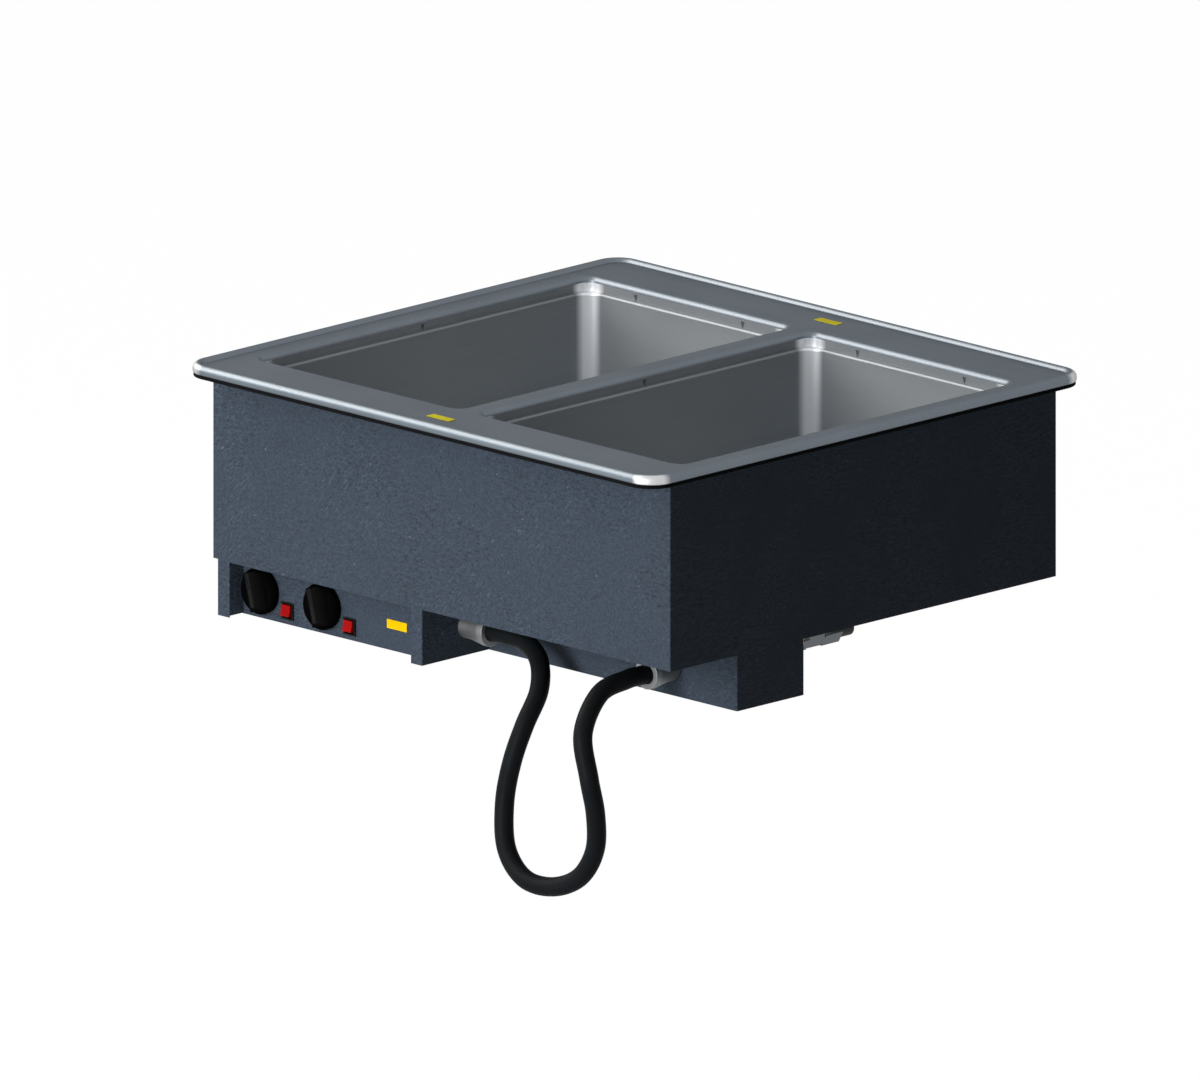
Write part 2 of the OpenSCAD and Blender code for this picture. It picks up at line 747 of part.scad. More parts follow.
module fitting_nut() {
    low = fitting_len - nut_cover;
    color([0.68, 0.7, 0.72]) difference() {
        translate([0, 0, low]) cylinder(r = fitting_r, h = nut_cover);
        translate([0, 0, low - cut])
            cylinder(r = fitting_r - 3 + run_gap, h = nut_cover - conduit_in + cut);
        translate([0, 0, low]) cylinder(r = conduit_r + 0.15, h = nut_cover + cut);
    }
}

module locknut() {
    color([0.6, 0.6, 0.6]) translate([0, 0, -casing_t - locknut_t]) difference() {
        hex_bar(locknut_w, locknut_t);
        translate([0, 0, -cut]) cylinder(r = hub_r + run_gap, h = locknut_t + 2 * cut);
    }
}

module locknuts() {
    at_left_fit() locknut();
    at_right_fit() locknut();
}

// Unit vector along v
function unit(v) = v / norm(v);

// Point number i of the route, carried on straight past both ends
function route_at(i) =
    i < 0 ? 2 * ROUTE[0] - ROUTE[1] :
    i > len(ROUTE) - 1 ? 2 * ROUTE[len(ROUTE) - 1] - ROUTE[len(ROUTE) - 2] : ROUTE[i];

// Point at share t between route points i and i + 1, on a curve through all of them
function between(i, t) =
    let (a = route_at(i - 1), b = route_at(i), c = route_at(i + 1), d = route_at(i + 2))
    0.5 * (2 * b + (c - a) * t + (2 * a - 5 * b + 4 * c - d) * t * t + (3 * b - a - 3 * c + d) * t * t * t);

// Centres of the rings, and the direction of the route at each
function ring_centres() = [
    for (i = [0 : len(ROUTE) - 2], k = [0 : ROUTE_STEPS - 1]) between(i, k / ROUTE_STEPS),
    ROUTE[len(ROUTE) - 1]];
function ring_ways(c) = [for (i = [0 : len(c) - 1])
    unit(i == 0 ? ROUTE[1] - ROUTE[0] :
        i == len(c) - 1 ? ROUTE[len(ROUTE) - 1] - ROUTE[len(ROUTE) - 2] : c[i + 1] - c[i - 1])];

// Side direction of each ring, carried along so that the tube doesn't twist
function carried(ways, i, side) =
    let (s = unit(side - (side * ways[i]) * ways[i]))
    i == len(ways) - 1 ? [s] : concat([s], carried(ways, i + 1, s));

// Closed tube along the route, as one polyhedron
module swept_tube(r, n) {
    centres = ring_centres();
    ways = ring_ways(centres);
    sides = carried(ways, 0, [0, 0, 1]);
    last = len(centres) - 1;
    points = [for (i = [0 : last], k = [0 : n - 1])
        centres[i] + r * (cos(360 * k / n) * sides[i] + sin(360 * k / n) * cross(ways[i], sides[i]))];
    walls = [for (i = [0 : last - 1], k = [0 : n - 1], half = [0, 1])
        let (a = i * n + k, b = i * n + (k + 1) % n)
        half == 0 ? [a, a + n, b] : [b, a + n, b + n]];
    ends = [[for (k = [0 : n - 1]) k], [for (k = [n - 1 : -1 : 0]) last * n + k]];
    polyhedron(points, concat(walls, ends));
}

module flex_conduit() { color([0.1, 0.11, 0.12]) swept_tube(conduit_r, ROUTE_SIDES); }

// Labels

module panel_label() {
    color([1, 0.82, 0]) translate([box_right_x - 59.5, panel_y - label_size[2] / 2, base_z - 32])
        cube([label_size[0], label_size[2], label_size[1]], center = true);
}

module deck_label(y) {
    color([1, 0.82, 0]) translate([0, y, deck_z + deck_label_size[2] / 2])
        cube(deck_label_size, center = true);
}

// Drain pipework

module drain_manifold() {
    riser_top = drain_end_z + riser_in;
    color([0.7, 0.5, 0.35]) difference() {
        union() {
            translate([-well_x, pipe_y, pipe_z]) x_rod(pipe_r, well_x + valve_x);
            for (side = [-1, 1]) translate([side * well_x, pipe_y, pipe_z]) {
                cylinder(r = pipe_r, h = riser_top - pipe_z);
                translate([-sleeve_r - 4, 0, 0]) x_rod(sleeve_r + 0.5, 2 * sleeve_r + 8);
                cylinder(r = sleeve_r, h = pipe_drop + 4);
            }
            translate([valve_x, pipe_y, pipe_z]) {
                translate([-sleeve_r - 1, 0, 0]) x_rod(sleeve_r, 2 * sleeve_r);
                translate([0, -sleeve_r + 1, 0]) y_rod(sleeve_r - 0.3, 2 * sleeve_r);
            }
        }
        translate([-well_x - pipe_bore, pipe_y, pipe_z])
            x_rod(pipe_bore, well_x + valve_x + 2 * pipe_bore - 1);
        for (side = [-1, 1]) translate([side * well_x, pipe_y, pipe_z])
            cylinder(r = pipe_bore - 0.3, h = casing_h);
        translate([valve_x, pipe_y, pipe_z]) y_rod(pipe_bore - 0.3, valve_len);
    }
}

// Places its children at the ball's centre
module at_ball() { translate([valve_x, ball_y, pipe_z]) children(); }

module valve_body() {
    color([0.6, 0.61, 0.62]) at_ball() difference() {
        union() {
            translate([0, -valve_len / 2, 0]) y_rod(barrel_r, valve_len);
            for (s = [-1, 1]) translate([0, s * (valve_len / 2 - 4) - 4, 0])
                rotate([-90, 0, 0]) hex_bar(24, 8);
            translate([-bonnet_len + 6, 0, 0]) x_rod(8, bonnet_len - 6);
        }
        translate([0, -valve_len / 2 + 7, 0]) y_rod(chamber_r, valve_len - 14);
        translate([0, -valve_len / 2 - cut, 0]) y_rod(pipe_bore, valve_len + 2 * cut);
        translate([-bonnet_len, 0, 0]) x_rod(stem_r + run_gap, bonnet_len);
    }
}

// Two soft rings that the ball turns between
module valve_seats() {
    inner = 5.5;
    color([0.95, 0.95, 0.93]) at_ball() for (s = [-1, 1]) difference() {
        translate([0, s > 0 ? inner : -valve_len / 2 + 7, 0]) y_rod(chamber_r - run_gap,
            valve_len / 2 - 7 - inner);
        translate([0, -valve_len, 0]) y_rod(ball_bore, 2 * valve_len);
        sphere(ball_r + seat_gap);
    }
}

module valve_ball() {
    color([0.8, 0.8, 0.8]) at_ball() difference() {
        sphere(ball_r);
        translate([0, 0, -ball_r - cut]) cylinder(r = ball_bore, h = 2 * ball_r + 2 * cut);
        block([-ball_r - cut, -1.6, -ball_r], [-ball_r + 2.5, 1.6, ball_r]);
    }
}

module valve_stem() {
    tongue = 1.4;
    color([0.7, 0.7, 0.7]) at_ball() {
        translate([-stem_len, 0, 0]) x_rod(stem_r, stem_len - ball_r - 0.4);
        intersection() {
            block([-ball_r - 1, -tongue, -stem_r], [-ball_r + 2.2, tongue, stem_r]);
            translate([-ball_r - 1, 0, 0]) x_rod(stem_r, 4);
        }
    }
}

module packing_nut() {
    color([0.65, 0.65, 0.66]) at_ball() translate([-bonnet_len, 0, 0]) rotate([0, 90, 0]) difference() {
        hex_bar(14, 6);
        translate([0, 0, -cut]) cylinder(r = stem_r + run_gap, h = 6 + 2 * cut);
    }
}

// Lever that hangs down when the valve is shut, with its dipped grip
module valve_lever() {
    x1 = -bonnet_len - 1;
    x0 = x1 - lever_t;
    mid = (x0 + x1) / 2;
    color([0.5, 0.06, 0.05]) at_ball() difference() {
        union() {
            translate([x0, 0, 0]) x_rod(lever_w / 2, lever_t);
            block([x0, -lever_w / 2, -24], [x1, lever_w / 2, 0]);
            block([mid - grip_t / 2, -lever_w / 2 - 0.5, -lever_len + 7],
                [mid + grip_t / 2, lever_w / 2 + 0.5, -20]);
            translate([mid - grip_t / 2, 0, -lever_len + 7]) x_rod(lever_w / 2 + 0.5, grip_t);
        }
        translate([x0 - cut, 0, 0]) x_rod(stem_r + run_gap, lever_t + 2 * cut);
    }
}

module lever_nut() {
    x = -bonnet_len - 1 - lever_t;
    color([0.72, 0.72, 0.72]) at_ball() translate([x - 4, 0, 0]) rotate([0, 90, 0]) difference() {
        hex_bar(11, 4);
        translate([0, 0, -cut]) cylinder(r = stem_r + run_gap, h = 4 + 2 * cut);
    }
}

module outlet_nut() {
    at = [valve_x, valve_y + valve_len, pipe_z];
    color([0.66, 0.67, 0.68]) translate(at) rotate([-90, 0, 0]) difference() {
        hex_bar(24, nut_len);
        translate([0, 0, -cut]) cylinder(r = pipe_bore, h = nut_len + 2 * cut);
    }
}

module outlet_spout() {
    color([0.08, 0.08, 0.08]) translate([valve_x, valve_y + valve_len + nut_len, pipe_z]) difference() {
        y_rod(spout_r, spout_len);
        translate([0, -cut, 0]) y_rod(spout_r - 2.5, spout_len + 2 * cut);
    }
}

// Wiring

// Bushing in the duct's back wall where the supply lead comes in
module supply_bushing() {
    color([0.07, 0.07, 0.07]) translate([bushing_x, duct_back_y, bushing_z]) difference() {
        union() {
            translate([0, -casing_t - 3, 0]) y_rod(knockout_r - 0.1, casing_t + 3);
            y_rod(13, 5);
        }
        translate([0, -casing_t - 3 - cut, 0]) y_rod(8, casing_t + 8 + 2 * cut);
    }
}

module terminal_block() {
    low = base_z - duct_h + cover_in;
    y = duct_front_y + duct_d / 2;
    color([0.9, 0.88, 0.8]) difference() {
        translate([terminal_x, y - terminal_size[1] / 2, low]) cube(terminal_size);
        for (i = [-2 : 2], sy = [-1, 1])
            translate([terminal_x + terminal_size[0] / 2 + terminal_pitch * i, y + 6 * sy, low + 8])
                cylinder(r = 2.6, h = terminal_size[2]);
    }
}

module ground_lug() {
    low = base_z - duct_h + cover_in;
    y = duct_front_y + duct_d / 2;
    color([0.3, 0.6, 0.3]) difference() {
        translate([lug_x, y - lug_size[1] / 2, low]) cube(lug_size);
        translate([lug_x + lug_size[0] / 2, y, low + 4]) cylinder(r = 2.6, h = lug_size[2]);
    }
}

// Lead bundles: along the duct, and from the regulators to the left fitting
module wiring() {
    duct_low = base_z - duct_h + cover_in;
    box_low = base_z - box_h + cover_in;
    color([0.15, 0.15, 0.5]) {
        translate([-well_x, duct_front_y + duct_d / 2, duct_low + 4]) x_rod(4, well_x + terminal_x - 5);
        translate([knob_x[0], box_back_y - 20, box_low + 3]) x_rod(3, box_right_x - 40 - knob_x[0]);
    }
}

// Pan-head screws that hold the two covers on
module cover_screws() {
    y_mid = duct_front_y + duct_d / 2;
    side = casing_t + flange_w / 2;
    color([0.6, 0.6, 0.6]) {
        for (x = [-casing_w / 2 + side, casing_w / 2 - side], y = [y_mid - 30, y_mid + 30])
            cover_screw(x, y, base_z - duct_h + cover_in);
        for (x = [box_left_x + side, box_right_x - side], y = [front_y + 45, box_back_y - 20])
            cover_screw(x, y, base_z - box_h + cover_in);
    }
}

module cover_screw(x, y, z) {
    translate([x, y, z - casing_t - 1]) cylinder(r = 3, h = 1);
}

top_deck();
deck_gasket();
translate([-well_x, 0, 0]) well();  // well_left
translate([well_x, 0, 0]) well();  // well_right
translate([-well_x, 0, 0]) drain();  // drain_left
translate([well_x, 0, 0]) drain();  // drain_right
drain_nuts();
translate([-well_x, 0, 0]) strainer();  // strainer_left
translate([well_x, 0, 0]) strainer();  // strainer_right
translate([-well_x, 0, 0]) heater();  // heater_left
translate([well_x, 0, 0]) heater();  // heater_right
element_clips();
translate([-well_x, 0, 0]) tray();  // tray_left
translate([well_x, 0, 0]) tray();  // tray_right
limiters();
side_insulation();
floor_insulation();
outer_casing();
casing_floor();
duct_shell();
duct_cover();
control_housing();
control_panel();
control_cover();
at_knob(0) regulator();  // regulator_left
at_knob(1) regulator();  // regulator_right
regulator_screws();
at_knob(0) shaft();  // shaft_left
at_knob(1) shaft();  // shaft_right
at_knob(0) knob();  // knob_left
at_knob(1) knob();  // knob_right
at_switch(0) switch_frame();  // switch_frame_left
at_switch(1) switch_frame();  // switch_frame_right
at_switch(0) switch_paddle();  // switch_paddle_left
at_switch(1) switch_paddle();  // switch_paddle_right
at_left_fit() fitting();  // fitting_left
at_right_fit() fitting();  // fitting_right
at_left_fit() fitting_nut();  // fitting_nut_left
at_right_fit() fitting_nut();  // fitting_nut_right
locknuts();
flex_conduit();
panel_label();
deck_label(-well_d / 2 - front_label_out);  // front_label
deck_label(well_d / 2 + rear_label_out);  // rear_label
drain_manifold();
valve_body();
valve_seats();
valve_ball();
valve_stem();
packing_nut();
valve_lever();
lever_nut();
outlet_nut();
outlet_spout();
supply_bushing();
terminal_block();
ground_lug();
wiring();
cover_screws();
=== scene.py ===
# %% [markdown]
# A drop-in steam table hangs in a counter by the lip of its deck. Two heated wells hold
# pans of food over hot water, a control box hangs under the front, and a flexible conduit
# carries the leads to the wiring box behind it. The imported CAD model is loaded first, and
# everything made here is in metres in the same frame, so each piece goes where the CAD says.

# %% Load the frame
import json
import math

import bmesh
import bpy
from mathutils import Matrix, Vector


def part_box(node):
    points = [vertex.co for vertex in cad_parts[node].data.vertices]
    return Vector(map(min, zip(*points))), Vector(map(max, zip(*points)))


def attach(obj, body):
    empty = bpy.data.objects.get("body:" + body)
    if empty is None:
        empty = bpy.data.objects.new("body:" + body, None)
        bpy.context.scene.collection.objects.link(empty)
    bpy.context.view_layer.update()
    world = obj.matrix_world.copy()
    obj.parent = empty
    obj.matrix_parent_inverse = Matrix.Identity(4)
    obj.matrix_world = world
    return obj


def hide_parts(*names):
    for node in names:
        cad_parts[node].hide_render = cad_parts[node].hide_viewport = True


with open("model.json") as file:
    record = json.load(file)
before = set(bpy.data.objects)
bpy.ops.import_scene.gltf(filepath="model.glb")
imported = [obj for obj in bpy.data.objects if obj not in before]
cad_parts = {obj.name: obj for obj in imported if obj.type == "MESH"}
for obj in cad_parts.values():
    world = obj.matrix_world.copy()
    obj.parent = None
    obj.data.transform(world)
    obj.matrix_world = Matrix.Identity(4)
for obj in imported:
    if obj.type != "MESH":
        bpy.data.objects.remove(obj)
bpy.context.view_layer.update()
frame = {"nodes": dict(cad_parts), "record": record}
nodes = frame["nodes"]

# %% [markdown]
# The photograph is close to a parallel projection, so the camera is orthographic. It looks
# from the front right, a little down. An orthographic camera needs a direction, the width of
# its view, and the point that lies at the middle of the picture. That point is found from the
# place in the picture where the frame's origin lies.

# %% Camera
IMAGE_W, IMAGE_H = 1200, 1078
PIXELS_PER_METRE = 935.0
ORIGIN_PIXEL = (634.6, 379.4)
AZIMUTH, ELEVATION = math.radians(45.1), math.radians(14.43)
CAMERA_DISTANCE = 4.0

towards = Vector((math.sin(AZIMUTH) * math.cos(ELEVATION),
                  -math.cos(AZIMUTH) * math.cos(ELEVATION), math.sin(ELEVATION)))
right = Vector((math.cos(AZIMUTH), math.sin(AZIMUTH), 0))
up = towards.cross(right)
middle = (right * (IMAGE_W / 2 - ORIGIN_PIXEL[0]) + up * (ORIGIN_PIXEL[1] - IMAGE_H / 2))
middle /= PIXELS_PER_METRE

bpy.ops.object.camera_add(location=middle + towards * CAMERA_DISTANCE)
camera = bpy.context.object
camera.name = "Camera"
camera.data.type = "ORTHO"
camera.data.ortho_scale = IMAGE_W / PIXELS_PER_METRE
camera.data.clip_end = 40
camera.rotation_euler = towards.to_track_quat("Z", "Y").to_euler()
bpy.context.scene.camera = camera
print("camera looks at", [round(v, 4) for v in middle])

# %% [markdown]
# The conduit is a ribbed metal hose in a smooth black jacket. It is seen from end to end, so
# its route is the CAD route, with the same points in metres. A smooth curve through the points
# gives the centreline, and a circle is carried along it. The curve is then turned into a mesh
# tube.

# %% Conduit
CONDUIT_R = 0.0105
ROUTE = [(3, -224, -236), (18, -224, -236), (34, -224, -236), (60, -224, -239),
         (90, -234, -252), (112, -256, -277), (116, -282, -310), (109, -294, -350),
         (105, -301, -395), (120, -313, -439), (156, -322, -464), (198, -321, -466),
         (233, -315, -450), (256, -315, -416), (265, -323, -374), (264, -332, -332),
         (250, -327, -286), (242, -294, -250), (246, -258, -240), (247, -239, -239),
         (247, -223, -239)]


def smooth_line(points, steps):
    """Points on a curve that passes through all the given ones, which are in millimetres."""
    p = [Vector(q) / 1000 for q in points]
    p = [2 * p[0] - p[1]] + p + [2 * p[-1] - p[-2]]
    line = []
    for a, b, c, d in zip(p, p[1:], p[2:], p[3:]):
        for k in range(steps):
            t = k / steps
            line.append(0.5 * (2 * b + (c - a) * t + (2 * a - 5 * b + 4 * c - d) * t * t
                               + (3 * b - a - 3 * c + d) * t ** 3))
    return line + [p[-2]]


def deselect():
    """Leaves edit mode and selects nothing, because an operator acts on all that is selected."""
    if bpy.context.mode != "OBJECT":
        bpy.ops.object.mode_set(mode="OBJECT")
    bpy.ops.object.select_all(action="DESELECT")


def tube(name, line, radius, sides):
    """Mesh tube along a line: a poly curve with a round bevel, turned into a mesh."""
    data = bpy.data.curves.new(name, "CURVE")
    data.dimensions = "3D"
    data.bevel_depth = radius
    data.bevel_resolution = (sides - 4) // 2
    data.use_fill_caps = True
    spline = data.splines.new("POLY")
    spline.points.add(len(line) - 1)
    for place, point in zip(spline.points, line):
        place.co = (*point, 1)
    piece = bpy.data.objects.new(name, data)
    bpy.context.scene.collection.objects.link(piece)
    deselect()
    piece.select_set(True)
    bpy.context.view_layer.objects.active = piece
    bpy.ops.object.convert(target="MESH")
    bpy.ops.object.shade_smooth_by_angle(angle=math.radians(40))
    return bpy.context.object


conduit_line = smooth_line(ROUTE, 8)
conduit_length = sum((b - a).length for a, b in zip(conduit_line, conduit_line[1:]))
conduit = tube("conduit_jacket", conduit_line, CONDUIT_R, 24)
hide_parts("flex_conduit")
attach(conduit, "table")
print("conduit", round(conduit_length, 4), "m")

# %% [markdown]
# The deck and the wells are one skin of stainless sheet, pressed and welded. The CAD nodes have
# the right sizes, but their meshes are loose triangles that can't be shaded smoothly, so both
# are modelled again here. Each starts as a plane with rounded corners. The inset tool then makes
# one ring after another, each a step inwards and a step up or down, so the section of the sheet
# is written as a list of such steps. Solidify gives the skin its thickness at the end.

# %% Sizes of the sheet metal
SHEET = 0.0012
DECK_W, DECK_D, DECK_R = 0.713, 0.660, 0.030
LIP_TOP, DECK_Z, HEM_Z = 0.0145, 0.0105, 0.004
NOSE_R, TUCK_R, EDGE_R, HEM_W = 0.006, 0.002, 0.006, 0.009
SLOPE_W = 0.0065
WELL_W, WELL_D, WELL_X = 0.306, 0.500, 0.168
COLLAR_R, TUB_R, FLOOR_R = 0.012, 0.020, 0.014
LEDGE_Z, LEDGE_W, LEDGE_R, FLOOR_Z = -0.0045, 0.005, 0.003, -0.1545
CORNER_PARTS = 10

slope_h = LIP_TOP - DECK_Z
slope_r = (SLOPE_W ** 2 + slope_h ** 2) / (2 * slope_h)
slope_angle = math.degrees(math.asin(SLOPE_W / slope_r))
shoulder_r, foot_r = 0.64 * slope_r, 0.36 * slope_r
print("bead slope turns", round(slope_angle, 1), "degrees")


# %% Tools for sheet metal
def turn(radius, start, end, parts):
    """Steps (inwards, along the normal) round an arc. 0 heads inwards, 90 along the normal."""
    steps = []
    for k in range(parts):
        heading = math.radians(start + (end - start) * (k + 0.5) / parts)
        length = 2 * radius * math.sin(math.radians(abs(end - start)) / 2 / parts)
        steps.append((length * math.cos(heading), length * math.sin(heading)))
    return steps


def add_plate(x, width, depth, z, corner):
    """Adds a plane with rounded corners in edit mode and leaves its face selected."""
    bpy.ops.mesh.select_all(action="DESELECT")
    bpy.ops.mesh.primitive_plane_add(size=1, location=(x, 0, z))
    bpy.ops.transform.resize(value=(width, depth, 1), center_override=(x, 0, z))
    bpy.ops.mesh.bevel(offset=corner, segments=CORNER_PARTS, affect="VERTICES")


def new_sheet(name):
    """Starts an empty mesh at the origin, in edit mode."""
    deselect()
    piece = bpy.data.objects.new(name, bpy.data.meshes.new(name))
    bpy.context.scene.collection.objects.link(piece)
    piece.select_set(True)
    bpy.context.view_layer.objects.active = piece
    bpy.ops.object.mode_set(mode="EDIT")
    return piece


def follow(steps):
    """Insets the selected face by each step in turn, or extrudes it where a step is straight."""
    for inwards, along in steps:
        if abs(inwards) > 1e-6:
            bpy.ops.mesh.inset(thickness=inwards, depth=along, use_even_offset=True)
        else:
            raise_face(along)


def raise_face(along):
    """Extrudes the selected face straight along its normal."""
    bpy.ops.mesh.extrude_region_shrink_fatten(
        TRANSFORM_OT_shrink_fatten={"value": along, "use_even_offset": True})


def pick(keep, kind="faces"):
    """Selects, in edit mode, only the faces or edges that keep(element) accepts."""
    mesh = bpy.context.object.data
    bpy.ops.mesh.select_all(action="DESELECT")
    bpy.ops.mesh.select_mode(type="FACE" if kind == "faces" else "EDGE")
    shape = bmesh.from_edit_mesh(mesh)
    count = 0
    for element in getattr(shape, kind):
        if keep(element):
            element.select_set(True)
            count += 1
    bmesh.update_edit_mesh(mesh)
    return count


def level(edge, z):
    """True if an open edge lies at height z."""
    return len(edge.link_faces) <= 1 and all(abs(v.co.z - z) < 2e-5 for v in edge.verts)


def finish_sheet():
    """Merges doubles, turns the skin's seen side up, thickens it below and smooths it."""
    piece = bpy.context.object
    bpy.ops.mesh.select_all(action="SELECT")
    bpy.ops.mesh.remove_doubles(threshold=1e-6)
    bpy.ops.mesh.normals_make_consistent(inside=False)
    bpy.ops.object.mode_set(mode="OBJECT")
    largest_level = max((p for p in piece.data.polygons if abs(p.normal.z) > 0.9),
                        key=lambda p: p.area)
    if largest_level.normal.z < 0:
        piece.data.flip_normals()
    thicken = piece.modifiers.new("Sheet", "SOLIDIFY")
    thicken.thickness = SHEET
    thicken.offset = -1
    thicken.use_even_offset = True
    bpy.ops.object.modifier_apply(modifier="Sheet")
    smooth(piece)
    return piece


def smooth(piece, angle=30):
    """Smooth shading that keeps the large flats flat and the sharp edges sharp."""
    deselect()
    piece.select_set(True)
    bpy.context.view_layer.objects.active = piece
    bpy.ops.object.shade_smooth_by_angle(angle=math.radians(angle))
    even = piece.modifiers.new("Even", "WEIGHTED_NORMAL")
    even.keep_sharp = True
    even.weight = 100
    bpy.ops.object.modifier_apply(modifier="Even")


# %% [markdown]
# The deck's section starts at its outer wall. It goes up over the rolled nose, along a short
# crest, down the inner slope of the bead and on to the flat. Under the outer wall the sheet is
# tucked in and ends in a hem that lies on the gasket. The two openings are rounded down into
# the wells.

# %% Deck
deck = new_sheet("deck_skin")
add_plate(0, DECK_W, DECK_D, HEM_Z + TUCK_R, DECK_R)
raise_face(LIP_TOP - NOSE_R - HEM_Z - TUCK_R)
follow(turn(NOSE_R, 90, 0, 7) + turn(shoulder_r, 0, -slope_angle, 5)
       + turn(foot_r, -slope_angle, 0, 4))
bpy.ops.mesh.delete(type="ONLY_FACE")
pick(lambda e: level(e, HEM_Z + TUCK_R), "edges")
bpy.ops.mesh.edge_face_add()
pick(lambda f: len(f.verts) > 8 and abs(f.calc_center_median().z - HEM_Z - TUCK_R) < 1e-5)
shape = bmesh.from_edit_mesh(deck.data)
if any(f.select and f.normal.z > 0 for f in shape.faces):
    bpy.ops.mesh.flip_normals()
follow(turn(TUCK_R, 90, 0, 4) + [(HEM_W - TUCK_R, 0)])
bpy.ops.mesh.delete(type="FACE")
for side in (-1, 1):
    add_plate(side * WELL_X, WELL_W + 2 * EDGE_R, WELL_D + 2 * EDGE_R, DECK_Z, COLLAR_R + EDGE_R)
    follow(turn(EDGE_R, 0, -90, 7))
    bpy.ops.mesh.delete(type="ONLY_FACE")
pick(lambda e: level(e, DECK_Z), "edges")
bpy.ops.mesh.fill(use_beauty=True)
deck = finish_sheet()
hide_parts("top_deck")
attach(deck, "table")
print("deck", len(deck.data.polygons), "faces")

# %% [markdown]
# Each well has a collar, a narrow ledge that a pan's rim or an adapter bar rests on, and a tub
# with larger corners. The collar and the tub have different corner radii, so they are made from
# two plates and bridged at the ledge. The pressed guide marks in the collar are cut afterwards.


# %% Wells
def well(name, x):
    """One well pan, its skin's inner side on the CAD well's inner side."""
    new_sheet(name)
    add_plate(x, WELL_W, WELL_D, DECK_Z - EDGE_R, COLLAR_R)
    raise_face(LEDGE_Z - DECK_Z + EDGE_R)
    pick(lambda f: len(f.verts) > 4)
    bpy.ops.mesh.delete(type="ONLY_FACE")
    inner_w, inner_d = WELL_W - 2 * LEDGE_W, WELL_D - 2 * LEDGE_W
    add_plate(x, inner_w + 2 * LEDGE_R, inner_d + 2 * LEDGE_R, LEDGE_Z, TUB_R + LEDGE_R)
    follow(turn(LEDGE_R, 0, -90, 5))
    raise_face(FLOOR_Z + FLOOR_R - LEDGE_Z + LEDGE_R)
    follow(turn(FLOOR_R, -90, 0, 8))
    pick(lambda e: level(e, LEDGE_Z), "edges")
    bpy.ops.mesh.bridge_edge_loops()
    return finish_sheet()


wells = {}
for side, x in (("left", -WELL_X), ("right", WELL_X)):
    pan = well("well_skin_" + side, x)
    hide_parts("well_" + side)
    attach(pan, "table")
    wells[side] = pan
    print(pan.name, len(pan.data.polygons), "faces")

# %% [markdown]
# Small triangles are pressed into the collars. They show where an adapter bar goes. Each is cut
# half way into the sheet with a three-sided prism: a cylinder primitive with three sides, stood
# up with its point down and stretched to the mark's height. All prisms are one cutter, and a
# Boolean modifier takes it out of both wells.

# %% Guide marks
MARK_W, MARK_H, MARK_TOP, MARK_DEEP, MARK_X = 0.0064, 0.008, 0.0025, 0.0006, 0.081
mark_r = MARK_W / math.sqrt(3)


def add_mark(x, y, heading):
    """Adds a prism, point down, that reaches MARK_DEEP into the wall at x, y."""
    centre = (x, y, MARK_TOP - MARK_H / 3)
    bpy.ops.mesh.select_all(action="DESELECT")
    bpy.ops.mesh.primitive_cylinder_add(vertices=3, radius=mark_r, depth=2 * MARK_DEEP,
                                        location=centre,
                                        rotation=(-math.pi / 2, 0, math.radians(heading)))
    bpy.ops.transform.resize(value=(1, 1, MARK_H / (1.5 * mark_r)), center_override=centre)


cutter = new_sheet("mark_cutter")
for well_x in (-WELL_X, WELL_X):
    for side in (-1, 1):
        add_mark(well_x + side * WELL_W / 2, 0, 90)
        for x in (-MARK_X, MARK_X):
            add_mark(well_x + x, side * WELL_D / 2, 0)
deselect()
for pan in wells.values():
    pan.select_set(True)
    bpy.context.view_layer.objects.active = pan
    marks = pan.modifiers.new("Marks", "BOOLEAN")
    marks.operation, marks.solver, marks.object = "DIFFERENCE", "EXACT", cutter
    bpy.ops.object.modifier_apply(modifier="Marks")
    smooth(pan)
    print(pan.name, len(pan.data.polygons), "faces with its marks")
bpy.data.objects.remove(cutter)

# %% [markdown]
# The other visible pieces have the right shape in the CAD model, but every edge there is as
# sharp as a knife, and an edge with no width catches no light. A folded box has a small bend
# radius, a turned nut a chamfer and a moulded knob a soft edge. So each such node's mesh is
# copied and its loose triangles are merged into clean faces. Then the folds that the eye
# follows are picked by their place and bevelled wide, and a Bevel modifier breaks the rest.

# %% Tool for broken edges
FOLD_R = 0.0012
body_of = {node: body for body, group in frame["record"]["behaviour"]["bodies"].items()
           for node in group}
slots = {row["node"]: row["material_slot"] for row in frame["record"]["subparts"]}
looks = {**slots, "front_label": "deck_label", "rear_label": "deck_label"}
made = [(conduit, "conduit_jacket"), (deck, "deck_steel"),
        (wells["left"], "well_steel"), (wells["right"], "well_steel")]


